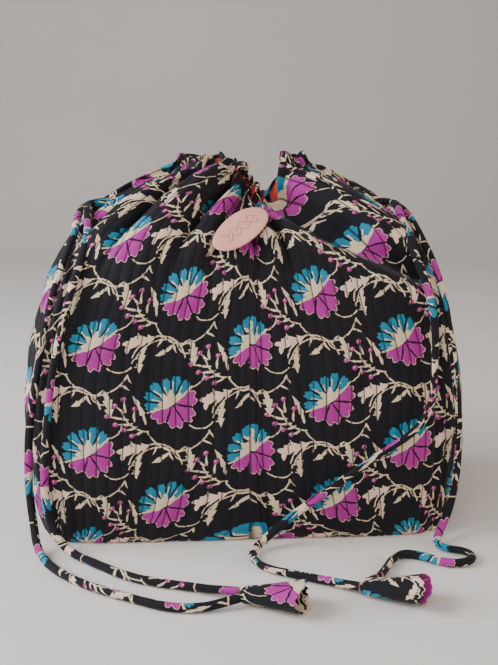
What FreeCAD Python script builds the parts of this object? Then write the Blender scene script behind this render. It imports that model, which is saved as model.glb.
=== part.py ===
"""Quilted cotton drawstring knitting bag, in millimetres.

The origin is at the middle of the base, on the surface that the bag stands on. X runs along
the bag's width, -Y is its front and +Z is up. Each panel is three layers of cloth, and above
the shoulder the same cloth is gathered to a mouth that two drawstrings close.
"""
import FreeCAD
import Part
import math
import os

V = FreeCAD.Vector

# Cloth layers, from the outside in
OUTER_T = 1.2
WADDING_T = 2.5
LINING_T = 0.8
PANEL_T = OUTER_T + WADDING_T + LINING_T
GATHER_LINING_T = 1.0

# Heights of the bag
SHOULDER_Z = 200.0
CASING_Z = 244.0
RUFFLE_Z = 258.0
PEAK_Z = 288.0

# Outline of the bag at each height: z, half width, half depth, squareness of the corners
BODY_OUTLINE = [
    (0.0, 153.0, 78.0, 8.0),
    (14.0, 160.0, 85.0, 6.5),
    (80.0, 172.0, 91.0, 5.0),
    (140.0, 167.0, 90.0, 5.0),
    (SHOULDER_Z, 150.0, 84.0, 4.5),
]
NECK_OUTLINE = [
    (SHOULDER_Z, 150.0, 84.0, 4.5),
    (222.0, 135.0, 72.0, 4.0),
    (CASING_Z, 113.0, 57.0, 3.4),
    (RUFFLE_Z, 92.0, 45.0, 3.0),
    (275.0, 64.0, 35.0, 2.6),
    (PEAK_Z, 42.0, 25.0, 2.4),
]
# Inside of the gathered neck, which thickens as the folds close up
NECK_INSIDE = [
    (SHOULDER_Z, 150.0 - PANEL_T, 84.0 - PANEL_T, 4.5),
    (222.0, 127.0, 62.0, 3.8),
    (CASING_Z, 93.0, 34.0, 3.0),
    (RUFFLE_Z, 66.0, 19.0, 2.6),
    (275.0, 46.0, 15.0, 2.4),
    (PEAK_Z, 28.0, 11.0, 2.2),
]
OUTLINE_POINTS = 48
CORNER_SLOPE = 0.55          # depth over width of the line from the middle to a corner seam
LIP_SLOPE = 0.80             # the same for the ends of the front lip, which stay inside the corners
LIP_GAP = 0.5                # clearance round the front lip, which moves
RUFFLE_LEFT_END = -6.0       # the two ruffles stop short of the notch between them
RUFFLE_RIGHT_END = 34.0

# Drawstrings, channels and the tips on their ends
CORD_D = 6.5
CHANNEL_D = 7.6
CHANNEL_Z = 251.0
CHANNEL_DEPTHS = (31.5, 39.5)      # distance of the two cords in front and back from the middle
CHANNEL_HALF_L = 46.0
CORD_HALF_LENGTHS = (33.0, 42.5)   # the nearer cord stops sooner, at the side casing's slope
SIDE_CHANNEL_Y = 5.5
SIDE_CORD_INNER_X = 79.0
EXIT_X = 103.0
EXIT_GAP = 0.4               # between a cord end and the strand that carries on from it
FLOOR_Z = 3.6
TIP_WALL = 1.6

# Label
LABEL_HALF_L = 25.0
LABEL_HALF_W = 12.5
LABEL_T = 1.8
LABEL_TILT = 41.0
LABEL_X = -5.0
LABEL_Z = 231.0

# Routes of the four strands, from the mouth to the tip
LEFT_FRONT_ROUTE = [
    (-EXIT_X, -SIDE_CHANNEL_Y, CHANNEL_Z),
    (-112.0, -6.0, 250.8),
    (-119.0, -11.5, 249.8),
    (-119.5, -21.5, 248.5),
    (-118.0, -33.0, 245.3),
    (-117.0, -44.0, 240.0),
    (-115.5, -55.0, 233.3),
    (-116.5, -65.0, 224.5),
    (-120.0, -73.5, 213.0),
    (-124.5, -81.0, 199.0),
    (-129.5, -85.0, 182.0),
    (-134.5, -87.0, 163.0),
    (-140.0, -88.0, 142.0),
    (-144.0, -88.0, 118.0),
    (-147.0, -88.0, 94.0),
    (-149.5, -87.0, 71.0),
    (-151.0, -85.0, 50.0),
    (-150.0, -85.5, 33.0),
    (-146.0, -89.5, 18.0),
    (-138.0, -97.5, 8.0),
    (-127.0, -107.0, FLOOR_Z),
    (-112.0, -120.0, FLOOR_Z),
    (-94.0, -137.0, FLOOR_Z),
    (-73.0, -150.0, FLOOR_Z),
    (-51.0, -157.0, FLOOR_Z),
    (-30.0, -166.0, 4.6),
    (-12.0, -173.0, 6.5),
]
LEFT_REAR_ROUTE = [
    (-EXIT_X, SIDE_CHANNEL_Y, CHANNEL_Z),
    (-112.0, 5.0, 250.8),
    (-120.0, 0.0, 249.0),
    (-125.0, -10.5, 245.8),
    (-126.5, -23.0, 241.5),
    (-126.0, -36.0, 237.0),
    (-126.5, -48.5, 230.5),
    (-129.5, -60.0, 221.0),
    (-134.0, -70.0, 208.5),
    (-139.5, -76.5, 191.0),
    (-145.0, -79.5, 171.0),
    (-150.0, -81.5, 148.0),
    (-155.0, -82.0, 123.0),
    (-160.0, -80.5, 97.0),
    (-162.5, -79.0, 72.0),
    (-163.5, -78.5, 48.0),
    (-162.0, -80.0, 30.0),
    (-159.5, -86.0, 15.0),
    (-156.5, -96.0, 6.5),
    (-151.0, -108.0, FLOOR_Z),
    (-141.0, -126.0, FLOOR_Z),
    (-124.0, -145.0, FLOOR_Z),
    (-103.0, -161.0, FLOOR_Z),
    (-80.0, -175.0, FLOOR_Z),
    (-60.0, -186.0, FLOOR_Z),
    (-41.0, -189.0, FLOOR_Z),
    (-25.0, -186.0, 4.6),
    (-12.0, -182.0, 6.5),
]
RIGHT_FRONT_ROUTE = [
    (EXIT_X, -SIDE_CHANNEL_Y, CHANNEL_Z),
    (112.0, -6.0, 250.8),
    (119.0, -11.5, 249.8),
    (119.5, -21.5, 248.3),
    (118.5, -33.0, 244.6),
    (118.5, -44.0, 239.0),
    (118.0, -55.0, 232.0),
    (120.5, -65.0, 222.5),
    (125.0, -74.0, 210.0),
    (130.0, -81.5, 194.5),
    (134.5, -85.5, 176.0),
    (136.0, -88.0, 155.0),
    (135.0, -91.0, 135.0),
    (135.0, -93.0, 117.0),
    (130.5, -95.0, 100.0),
    (118.0, -96.5, 86.5),
    (99.5, -97.5, 75.0),
    (77.0, -97.0, 59.0),
    (56.0, -96.0, 43.0),
    (41.0, -95.0, 32.0),
    (29.0, -93.5, 22.0),
    (17.0, -94.0, 12.0),
    (7.0, -99.0, 5.0),
    (1.0, -109.0, FLOOR_Z),
    (1.0, -122.0, FLOOR_Z),
    (8.0, -134.0, FLOOR_Z),
    (22.0, -143.0, FLOOR_Z),
    (38.0, -151.0, FLOOR_Z),
    (54.0, -161.0, 4.6),
    (69.0, -172.0, 6.5),
]
RIGHT_SIDE_ROUTE = [
    (EXIT_X, SIDE_CHANNEL_Y, CHANNEL_Z),
    (112.0, 5.0, 250.8),
    (120.0, 0.0, 249.0),
    (124.5, -10.5, 246.0),
    (127.5, -23.0, 241.2),
    (129.0, -36.0, 236.0),
    (131.5, -48.5, 227.5),
    (136.0, -60.0, 215.5),
    (141.0, -70.0, 200.0),
    (145.0, -76.5, 181.0),
    (149.0, -80.0, 158.0),
    (153.0, -82.0, 133.0),
    (156.5, -82.5, 108.0),
    (158.5, -82.0, 84.0),
    (159.0, -81.0, 61.0),
    (157.5, -81.0, 42.0),
    (154.5, -82.5, 26.0),
    (148.5, -88.0, 14.0),
    (141.5, -96.0, 6.0),
    (139.0, -105.0, FLOOR_Z),
    (145.0, -112.0, FLOOR_Z),
    (154.0, -115.0, FLOOR_Z),
    (160.0, -122.0, FLOOR_Z),
    (158.0, -131.0, FLOOR_Z),
    (149.0, -136.0, FLOOR_Z),
    (139.0, -135.0, FLOOR_Z),
    (130.0, -129.0, FLOOR_Z),
    (121.0, -121.0, FLOOR_Z),
    (110.0, -118.0, FLOOR_Z),
    (101.0, -126.0, FLOOR_Z),
    (95.0, -137.0, FLOOR_Z),
    (88.0, -150.0, FLOOR_Z),
    (81.0, -159.0, 4.6),
    (73.0, -166.0, 6.5),
]

# Tips: the pivot in the narrow end and the middle of the wide end
LEFT_TIP_PIVOT = V(-4.0, -179.5, 7.0)
LEFT_TIP_WIDE = V(26.0, -190.0, 10.5)
RIGHT_TIP_PIVOT = V(77.0, -174.0, 7.0)
RIGHT_TIP_WIDE = V(106.0, -187.5, 12.0)
TIP_NARROW_HALF = (8.0, 5.5)
LEFT_TIP_WIDE_HALF = (16.5, 9.5)
RIGHT_TIP_WIDE_HALF = (18.0, 11.0)
TIP_NOSE_R = 8.0
TIP_PLAY = 0.5               # from the round nose of a tip to the ends of its two strands


def outline(z, half_w, half_d, square):
    """Closed smooth outline at one height, with rounded corners."""
    points = []
    for i in range(OUTLINE_POINTS):
        t = 2 * math.pi * (i + 0.5) / OUTLINE_POINTS
        c = math.cos(t)
        s = math.sin(t)
        x = half_w * math.copysign(abs(c) ** (2 / square), c)
        y = half_d * math.copysign(abs(s) ** (2 / square), s)
        points.append(V(x, y, z))
    curve = Part.BSplineCurve()
    curve.interpolate(points, PeriodicFlag=True)
    return Part.Wire([curve.toShape()])


def lofted(rows, inset=0.0):
    """Solid through the outlines, each drawn in by inset."""
    wires = [outline(z, w - inset, d - inset, n) for z, w, d, n in rows]
    return Part.makeLoft(wires, True, False)


def slab(z0, z1, half=400.0):
    """Everything between two heights."""
    return Part.makeBox(2 * half, 2 * half, z1 - z0, V(-half, -half, z0))


def wedge(side, gap=0.0, slope=CORNER_SLOPE):
    """Upright wedge that holds one panel, bounded by the corner seams and kept back by gap."""
    reach = 400.0
    front_y = -reach * slope
    back_y = reach * CORNER_SLOPE
    corners = {
        "front": [(0, -gap), (-reach, front_y - gap), (-reach, -reach), (reach, -reach), (reach, front_y - gap)],
        "back": [(0, 0), (reach, back_y), (reach, reach), (-reach, reach), (-reach, back_y)],
        "left": [(0, 0), (-reach, back_y), (-reach, front_y)],
        "right": [(0, 0), (reach, front_y), (reach, back_y)],
    }[side]
    points = [V(x, y, -10) for x, y in corners]
    face = Part.Face(Part.makePolygon(points + points[:1]))
    return face.extrude(V(0, 0, 400))


def bore(start, end, diameter):
    """Round solid between two points."""
    direction = end - start
    return Part.makeCylinder(diameter / 2, direction.Length, start, direction)


def save(name, shape):
    """Write one piece to its own file."""
    solids = shape.Solids
    if not solids or not shape.isValid():
        print("CHECK", name, "solids", len(solids), "valid", shape.isValid())
    result = solids[0] if len(solids) == 1 else Part.makeCompound(solids)
    result.exportStep(os.path.join("parts", name + ".step"))
    box = result.optimalBoundingBox(False)
    print(f"{name}: {len(solids)} solid, {result.Volume / 1000:.1f} cm3, "
          f"z {box.ZMin:.1f} to {box.ZMax:.1f}")


def body_panels():
    """Four walls and a base below the shoulder, each in three layers."""
    layers = [("outer", 0.0, OUTER_T), ("wadding", OUTER_T, WADDING_T),
              ("lining", OUTER_T + WADDING_T, LINING_T)]
    for layer, inset, thickness in layers:
        outside = lofted(BODY_OUTLINE, inset)
        inside = lofted(BODY_OUTLINE, inset + thickness)
        walls = outside.cut(inside).common(slab(inset, SHOULDER_Z))
        for side in ("front", "back", "left", "right"):
            save(f"{layer}_{side}", walls.common(wedge(side)))
        save(f"{layer}_base", inside.common(slab(inset, inset + thickness)))


def neck_shells():
    """Quilted gather with its lining, the casing band above it and the ruffle on top."""
    outside = lofted(NECK_OUTLINE)
    lining_outside = lofted(NECK_INSIDE, -GATHER_LINING_T)
    inside = lofted(NECK_INSIDE)
    gather = outside.cut(lining_outside).common(slab(SHOULDER_Z, CASING_Z))
    lining = lining_outside.cut(inside).common(slab(SHOULDER_Z, CASING_Z))
    band = outside.cut(inside)
    return gather, lining, band


def lip_floor():
    """Keeps the moving front lip just clear of the wall below it."""
    return slab(SHOULDER_Z + LIP_GAP, PEAK_Z + 10)


def neck_panels(gather, lining):
    """The gathered cloth of each side; the front one moves as the lip."""
    for side in ("back", "left", "right"):
        part = wedge(side, slope=LIP_SLOPE)
        save(f"{side}_gather", gather.common(part))
        save(f"{side}_gather_lining", lining.common(part))
    front = wedge("front", LIP_GAP, LIP_SLOPE)
    save("front_gather", gather.common(front).common(lip_floor()))
    save("front_gather_lining", lining.common(front).common(lip_floor()))


def long_channels(sign):
    """The two bores along the front or the back casing, and the two cords in them."""
    bores = []
    cords = []
    for depth, half_length in zip(CHANNEL_DEPTHS, CORD_HALF_LENGTHS):
        y = sign * depth
        bores.append(bore(V(-CHANNEL_HALF_L, y, CHANNEL_Z), V(CHANNEL_HALF_L, y, CHANNEL_Z), CHANNEL_D))
        cords.append(bore(V(-half_length, y, CHANNEL_Z), V(half_length, y, CHANNEL_Z), CORD_D))
    return bores, cords


def side_channels(sign):
    """The two bores through a side casing, and the cord ends that slide out through them."""
    bores = []
    cords = []
    for y in (-SIDE_CHANNEL_Y, SIDE_CHANNEL_Y):
        inner = V(sign * SIDE_CORD_INNER_X, y, CHANNEL_Z)
        outer = V(sign * (EXIT_X - EXIT_GAP), y, CHANNEL_Z)
        through = V(sign * (SIDE_CORD_INNER_X - 30), y, CHANNEL_Z)
        beyond = V(sign * (EXIT_X + 30), y, CHANNEL_Z)
        bores.append(bore(through, beyond, CHANNEL_D))
        cords.append(bore(inner, outer, CORD_D))
    return bores, cords


def casings(band):
    """Band round the mouth with the drawstrings in its channels."""
    level = slab(CASING_Z, RUFFLE_Z)
    for side, sign, gap in (("front", -1, LIP_GAP), ("back", 1, 0.0)):
        bores, cords = long_channels(sign)
        save(f"{side}_casing", band.common(level).common(wedge(side, gap, LIP_SLOPE)).cut(bores))
        save(f"drawstrings_in_{side}_casing", Part.makeCompound(cords))
    for side, sign in (("left", -1), ("right", 1)):
        bores, cords = side_channels(sign)
        save(f"{side}_casing", band.common(level).common(wedge(side, slope=LIP_SLOPE)).cut(bores))
        save(f"{side}_cord_ends", Part.makeCompound(cords))


def ruffles(band):
    """Cloth that stands above the casing on each side of the notch, open towards the front lip."""
    top = band.common(slab(RUFFLE_Z, PEAK_Z)).cut(wedge("front", slope=LIP_SLOPE))
    reach = 200.0
    left = Part.makeBox(reach, 2 * reach, reach, V(RUFFLE_LEFT_END - reach, -reach, RUFFLE_Z))
    right = Part.makeBox(reach, 2 * reach, reach, V(RUFFLE_RIGHT_END, -reach, RUFFLE_Z))
    save("left_ruffle", top.common(left))
    save("right_ruffle", top.common(right))


def label():
    """Oval label that follows the front gather's outer face."""
    skin = lofted(NECK_OUTLINE, -LABEL_T).cut(lofted(NECK_OUTLINE))
    tilt = math.radians(LABEL_TILT)
    ellipse = Part.Ellipse(V(0, 0, 0), LABEL_HALF_L, LABEL_HALF_W)
    face = Part.Face(Part.Wire([ellipse.toShape()]))
    cutter = face.extrude(V(0, 0, 200))
    cutter.rotate(V(0, 0, 0), V(0, 0, 1), math.degrees(tilt))
    cutter.rotate(V(0, 0, 0), V(1, 0, 0), 90)
    cutter.translate(V(LABEL_X, -10, LABEL_Z))
    save("label", skin.common(cutter))


def cord_tube(name, route, pivot):
    """Round cord along straight runs joined by tangent arcs, stopped clear of its tip's nose."""
    points = [V(*p) for p in route]
    edges = []
    start = points[0]
    radii = []
    for before, corner, after in zip(points, points[1:], points[2:]):
        into = corner - before
        out = after - corner
        turn = into.getAngle(out)
        radius = 0.45 * min(into.Length, out.Length) / math.tan(turn / 2)
        radii.append(radius)
        trim = radius * math.tan(turn / 2)
        first = corner - into.normalize() * trim
        last = corner + out.normalize() * trim
        halfway = (out - into).normalize()
        middle = corner + halfway * (radius / math.cos(turn / 2) - radius)
        edges.append(Part.LineSegment(start, first).toShape())
        edges.append(Part.Arc(first, middle, last).toShape())
        start = last
    edges.append(Part.LineSegment(start, points[-1]).toShape())
    path = Part.Wire(edges)
    circle = Part.Circle(points[0], points[1] - points[0], CORD_D / 2)
    tube = path.makePipeShell([Part.Wire([circle.toShape()])], True, True)
    section = math.pi * CORD_D ** 2 / 4
    print(f"{name}: length {path.Length:.0f}, least radius {min(radii):.1f}, "
          f"volume share {tube.Volume / (section * path.Length):.3f}")
    runs = [(b - a).Length for a, b in zip(points, points[1:])]
    worst = max(max(a / b, b / a) for a, b in zip(runs, runs[1:]))
    print(f"  radii {[round(r) for r in radii]}, worst step between runs {worst:.2f}")
    save(name, tube.cut(upright_round(pivot, TIP_NOSE_R + TIP_PLAY)))


def upright_round(pivot, radius):
    """Tall round solid on a tip's pivot."""
    height = 60.0
    return Part.makeCylinder(radius, height, V(pivot.x, pivot.y, -height / 2))


def tip_section(centre, direction, half_w, half_h):
    """Flattened round section of a tip, upright across its direction."""
    ellipse = Part.Ellipse(V(0, 0, 0), half_w, half_h)
    wire = Part.Wire([ellipse.toShape()])
    heading = math.degrees(math.atan2(direction.y, direction.x))
    wire.rotate(V(0, 0, 0), V(1, 0, 0), 90)
    wire.rotate(V(0, 0, 0), V(0, 0, 1), heading + 90)
    wire.translate(centre)
    return wire


def tip(name, pivot, wide, wide_half):
    """Cone of folded cloth on the ends of a drawstring, round at its nose and open at its wide end."""
    direction = wide - pivot
    ahead = V(direction.x, direction.y, 0).normalize()
    narrow = pivot - ahead * TIP_NOSE_R
    narrow_w, narrow_h = TIP_NARROW_HALF
    wide_w, wide_h = wide_half
    whole = Part.makeLoft([tip_section(narrow, direction, narrow_w, narrow_h),
                           tip_section(pivot, direction, narrow_w, narrow_h),
                           tip_section(wide, direction, wide_w, wide_h)], True, True)
    front = Part.makeBox(100, 100, 60, V(0, -50, -20))
    front.rotate(V(0, 0, 0), V(0, 0, 1), math.degrees(math.atan2(ahead.y, ahead.x)))
    front.translate(V(pivot.x, pivot.y, 0))
    outside = whole.common(front.fuse(upright_round(pivot, TIP_NOSE_R)))
    step = ahead * TIP_NOSE_R
    inside = Part.makeLoft([
        tip_section(pivot + step, direction, narrow_w - TIP_WALL / 2, narrow_h - TIP_WALL / 2),
        tip_section(wide + step, direction, wide_w - TIP_WALL + 2, wide_h - TIP_WALL + 1)], True, True)
    save(name, outside.cut(inside))


def main():
    os.makedirs("parts", exist_ok=True)
    body_panels()
    gather, lining, band = neck_shells()
    neck_panels(gather, lining)
    casings(band)
    ruffles(band)
    label()
    cord_tube("left_front_strand", LEFT_FRONT_ROUTE, LEFT_TIP_PIVOT)
    cord_tube("left_rear_strand", LEFT_REAR_ROUTE, LEFT_TIP_PIVOT)
    cord_tube("right_front_strand", RIGHT_FRONT_ROUTE, RIGHT_TIP_PIVOT)
    cord_tube("right_side_strand", RIGHT_SIDE_ROUTE, RIGHT_TIP_PIVOT)
    tip("left_tip", LEFT_TIP_PIVOT, LEFT_TIP_WIDE, LEFT_TIP_WIDE_HALF)
    tip("right_tip", RIGHT_TIP_PIVOT, RIGHT_TIP_WIDE, RIGHT_TIP_WIDE_HALF)


main()
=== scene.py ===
"""Looks of the quilted drawstring knitting bag, built round its CAD frame, in metres."""
import math

import bmesh
import bpy
import numpy as np
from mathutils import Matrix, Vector


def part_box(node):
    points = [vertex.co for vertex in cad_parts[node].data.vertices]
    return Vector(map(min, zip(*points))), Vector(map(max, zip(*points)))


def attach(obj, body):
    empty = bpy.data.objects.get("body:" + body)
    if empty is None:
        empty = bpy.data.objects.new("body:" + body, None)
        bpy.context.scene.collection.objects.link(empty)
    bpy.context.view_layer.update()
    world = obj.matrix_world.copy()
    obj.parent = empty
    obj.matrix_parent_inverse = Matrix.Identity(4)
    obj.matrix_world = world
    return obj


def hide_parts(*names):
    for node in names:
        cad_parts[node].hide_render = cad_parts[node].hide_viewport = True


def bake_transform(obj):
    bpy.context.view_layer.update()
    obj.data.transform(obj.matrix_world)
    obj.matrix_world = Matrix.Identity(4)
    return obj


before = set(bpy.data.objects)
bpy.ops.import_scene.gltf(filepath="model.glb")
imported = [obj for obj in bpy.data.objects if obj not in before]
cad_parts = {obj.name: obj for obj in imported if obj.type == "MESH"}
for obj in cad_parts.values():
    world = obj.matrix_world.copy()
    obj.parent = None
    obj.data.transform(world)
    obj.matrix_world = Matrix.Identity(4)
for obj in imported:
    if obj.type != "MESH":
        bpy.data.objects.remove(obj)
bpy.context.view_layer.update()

# ---------------------------------------------------------------- sizes, read from the frame
HALF_W = (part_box("outer_right")[1].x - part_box("outer_left")[0].x) / 2
HALF_D = (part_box("outer_back")[1].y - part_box("outer_front")[0].y) / 2
SHOULDER_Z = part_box("outer_front")[1].z
MM = 0.001

# Outline of the bag below the shoulder: height, half width, half depth, squareness
BODY_ROWS = [
    (0.0, 0.884, 0.855, 8.0),
    (0.4 * MM, 0.900, 0.880, 8.0),
    (5 * MM, 0.919, 0.910, 7.5),
    (14 * MM, 0.935, 0.940, 6.5),
    (40 * MM, 0.971, 0.975, 5.6),
    (80 * MM, 1.0, 1.0, 5.0),
    (140 * MM, 0.971, 0.989, 5.0),
    (SHOULDER_Z, 0.872, 0.923, 4.5),
]
# The neck: share of the shoulder's outline, share of the rise at the sides and at the front
NECK_ROWS = [
    (1.00, 0.00, 0.00),
    (0.90, 0.30, 0.40),
    (0.75, 0.565, 0.68),
    (0.61, 0.715, 0.85),
    (0.47, 0.84, 0.95),
    (0.35, 0.93, 1.00),
    (0.30, 1.00, 1.02),
]
SHOULDER_SQUARE = 4.5
MOUTH_SQUARE = 2.4
RIM_FRONT_Z = 250 * MM
RIM_BACK_Z = 253 * MM
RIM_LEFT_Z = 284 * MM
RIM_RIGHT_Z = 286 * MM
NOTCH_SHARE = 0.36          # where the rim dips at the back, as a share of its half width
NOTCH_HALF_SHARE = 0.32
DIP_SHARE = 0.22            # where it dips at the front
FRONT_DROP = 5 * MM
CLOTH_COLUMNS = 840
CLOTH_ROWS = 210
PLEATS = 21
PLEAT_DEPTH = 29 * MM
PLEAT_SWELL = 3.0 * MM
QUILT_STEP = 9.5 * MM
QUILT_DEPTH = 0.9 * MM
LINING_INSET = 3.0 * MM
# Where the folded ridge at the front starts, and how fast it falls to the right
RIDGE_X = 15 * MM
RIDGE_Z = 247 * MM
RIDGE_SLOPE = 0.475

# Print: the half-drop repeat
REPEAT_W = 120.0
REPEAT_H = 40.0
ROW_SHIFT = 60.0

# Drawstrings
CORD_D = 6.5 * MM
EXIT_X = 0.103
CHANNEL_Z = 0.251
FLOOR_Z = 0.0036
LEFT_FRONT_ROUTE = [
    (-EXIT_X, -0.0055, CHANNEL_Z), (-0.112, -0.006, 0.2508), (-0.119, -0.0115, 0.2498),
    (-0.1195, -0.0215, 0.2485), (-0.118, -0.033, 0.2453), (-0.117, -0.044, 0.24),
    (-0.1155, -0.055, 0.2333), (-0.1165, -0.065, 0.2245), (-0.12, -0.0735, 0.213),
    (-0.1245, -0.081, 0.199), (-0.1295, -0.085, 0.182), (-0.1345, -0.087, 0.163), (-0.14, -0.088, 0.142),
    (-0.144, -0.088, 0.118), (-0.147, -0.088, 0.094), (-0.1495, -0.087, 0.071), (-0.151, -0.085, 0.05),
    (-0.15, -0.0855, 0.033), (-0.146, -0.0895, 0.018), (-0.138, -0.0975, 0.008),
    (-0.127, -0.107, FLOOR_Z), (-0.112, -0.12, FLOOR_Z), (-0.094, -0.137, FLOOR_Z),
    (-0.073, -0.15, FLOOR_Z), (-0.051, -0.157, FLOOR_Z), (-0.03, -0.166, 0.0046),
    (-0.012, -0.173, 0.0065),
]
LEFT_REAR_ROUTE = [
    (-EXIT_X, 0.0055, CHANNEL_Z), (-0.112, 0.005, 0.2508), (-0.12, 0.0, 0.249), (-0.125, -0.0105, 0.2458),
    (-0.1265, -0.023, 0.2415), (-0.126, -0.036, 0.237), (-0.1265, -0.0485, 0.2305),
    (-0.1295, -0.06, 0.221), (-0.134, -0.07, 0.2085), (-0.1395, -0.0765, 0.191), (-0.145, -0.0795, 0.171),
    (-0.15, -0.0815, 0.148), (-0.155, -0.082, 0.123), (-0.16, -0.0805, 0.097), (-0.1625, -0.079, 0.072),
    (-0.1635, -0.0785, 0.048), (-0.162, -0.08, 0.03), (-0.1595, -0.086, 0.015), (-0.1565, -0.096, 0.0065),
    (-0.151, -0.108, FLOOR_Z), (-0.141, -0.126, FLOOR_Z), (-0.124, -0.145, FLOOR_Z),
    (-0.103, -0.161, FLOOR_Z), (-0.08, -0.175, FLOOR_Z), (-0.06, -0.186, FLOOR_Z),
    (-0.041, -0.189, FLOOR_Z), (-0.025, -0.186, 0.0046), (-0.012, -0.182, 0.0065),
]
RIGHT_FRONT_ROUTE = [
    (EXIT_X, -0.0055, CHANNEL_Z), (0.112, -0.006, 0.2508), (0.119, -0.0115, 0.2498),
    (0.1195, -0.0215, 0.2483), (0.1185, -0.033, 0.2446), (0.1185, -0.044, 0.239), (0.118, -0.055, 0.232),
    (0.1205, -0.065, 0.2225), (0.125, -0.074, 0.21), (0.13, -0.0815, 0.1945), (0.1345, -0.0855, 0.176),
    (0.136, -0.088, 0.155), (0.135, -0.091, 0.135), (0.135, -0.093, 0.117), (0.1305, -0.095, 0.1),
    (0.118, -0.0965, 0.0865), (0.0995, -0.0975, 0.075), (0.077, -0.097, 0.059), (0.056, -0.096, 0.043),
    (0.041, -0.095, 0.032), (0.029, -0.0935, 0.022), (0.017, -0.094, 0.012), (0.007, -0.099, 0.005),
    (0.001, -0.109, FLOOR_Z), (0.001, -0.122, FLOOR_Z), (0.008, -0.134, FLOOR_Z),
    (0.022, -0.143, FLOOR_Z), (0.038, -0.151, FLOOR_Z), (0.054, -0.161, 0.0046), (0.069, -0.172, 0.0065),
]
RIGHT_SIDE_ROUTE = [
    (EXIT_X, 0.0055, CHANNEL_Z), (0.112, 0.005, 0.2508), (0.12, 0.0, 0.249), (0.1245, -0.0105, 0.246),
    (0.1275, -0.023, 0.2412), (0.129, -0.036, 0.236), (0.1315, -0.0485, 0.2275), (0.136, -0.06, 0.2155),
    (0.141, -0.07, 0.2), (0.145, -0.0765, 0.181), (0.149, -0.08, 0.158), (0.153, -0.082, 0.133),
    (0.1565, -0.0825, 0.108), (0.1585, -0.082, 0.084), (0.159, -0.081, 0.061), (0.1575, -0.081, 0.042),
    (0.1545, -0.0825, 0.026), (0.1485, -0.088, 0.014), (0.1415, -0.096, 0.006), (0.139, -0.105, FLOOR_Z),
    (0.145, -0.112, FLOOR_Z), (0.154, -0.115, FLOOR_Z), (0.16, -0.122, FLOOR_Z), (0.158, -0.131, FLOOR_Z),
    (0.149, -0.136, FLOOR_Z), (0.139, -0.135, FLOOR_Z), (0.13, -0.129, FLOOR_Z), (0.121, -0.121, FLOOR_Z),
    (0.11, -0.118, FLOOR_Z), (0.101, -0.126, FLOOR_Z), (0.095, -0.137, FLOOR_Z), (0.088, -0.15, FLOOR_Z),
    (0.081, -0.159, 0.0046), (0.073, -0.166, 0.0065),
]
LEFT_TIP_PIVOT = Vector((-0.004, -0.1795, 0.007))
LEFT_TIP_WIDE = Vector((0.026, -0.190, 0.0105))
RIGHT_TIP_PIVOT = Vector((0.077, -0.174, 0.007))
RIGHT_TIP_WIDE = Vector((0.106, -0.1875, 0.012))


# ---------------------------------------------------------------- small helpers
def smoothstep(low, high, x):
    t = np.clip((x - low) / (high - low), 0, 1)
    return t * t * (3 - 2 * t)


def value_noise(points, size, seed):
    """Smooth noise from -1 to 1 at each point."""
    p = points / size + seed * 17.31
    cell = np.floor(p)
    f = p - cell
    f = f * f * (3 - 2 * f)
    total = np.zeros(len(p))
    for corner in range(8):
        step = np.array([corner & 1, corner >> 1 & 1, corner >> 2 & 1])
        q = (cell + step) @ np.array([127.1, 311.7, 74.7])
        rand = np.modf(np.sin(q) * 43758.5453)[0]
        weight = np.prod(np.where(step == 1, f, 1 - f), axis=1)
        total += weight * rand
    return np.clip(total, -1, 1)


def grid_mesh(name, points, uv, wrap, material, smooth=True, flip=False):
    """Mesh from rows x columns of points; wrap closes the columns into a ring. UV is in metres."""
    rows, cols = points.shape[:2]
    mesh = bpy.data.meshes.new(name)
    index = np.arange(rows * cols).reshape(rows, cols)
    last = cols if wrap else cols - 1
    right = (np.arange(last) + 1) % cols
    a = index[:-1, :last]
    b = index[:-1][:, right]
    c = index[1:][:, right]
    d = index[1:, :last]
    quads = np.stack([a, b, c, d], -1).reshape(-1, 4)
    if flip:
        quads = quads[:, ::-1]
    mesh.from_pydata(points.reshape(-1, 3).tolist(), [], quads.tolist())
    layer = mesh.uv_layers.new(name="cloth")
    full = uv.reshape(rows, -1, 2)
    u_step = np.arange(last) + 1
    low, high = full[:-1], full[1:]
    corner_uv = np.stack([low[:, :last], low[:, u_step], high[:, u_step], high[:, :last]], 2)
    corner_uv = corner_uv.reshape(-1, 4, 2)
    if flip:
        corner_uv = corner_uv[:, ::-1]
    layer.data.foreach_set("uv", corner_uv.astype(np.float32).ravel())
    mesh.materials.append(material)
    if smooth:
        mesh.polygons.foreach_set("use_smooth", [True] * len(mesh.polygons))
    mesh.update()
    obj = bpy.data.objects.new(name, mesh)
    bpy.context.scene.collection.objects.link(obj)
    return obj


def grid_normals(points, wrap):
    """Outward normal at each point of a grid."""
    if wrap:
        across = np.roll(points, -1, 1) - np.roll(points, 1, 1)
    else:
        across = np.gradient(points, axis=1)
    along = np.gradient(points, axis=0)
    n = np.cross(across, along)
    return n / np.maximum(np.linalg.norm(n, axis=2, keepdims=True), 1e-12)


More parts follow.
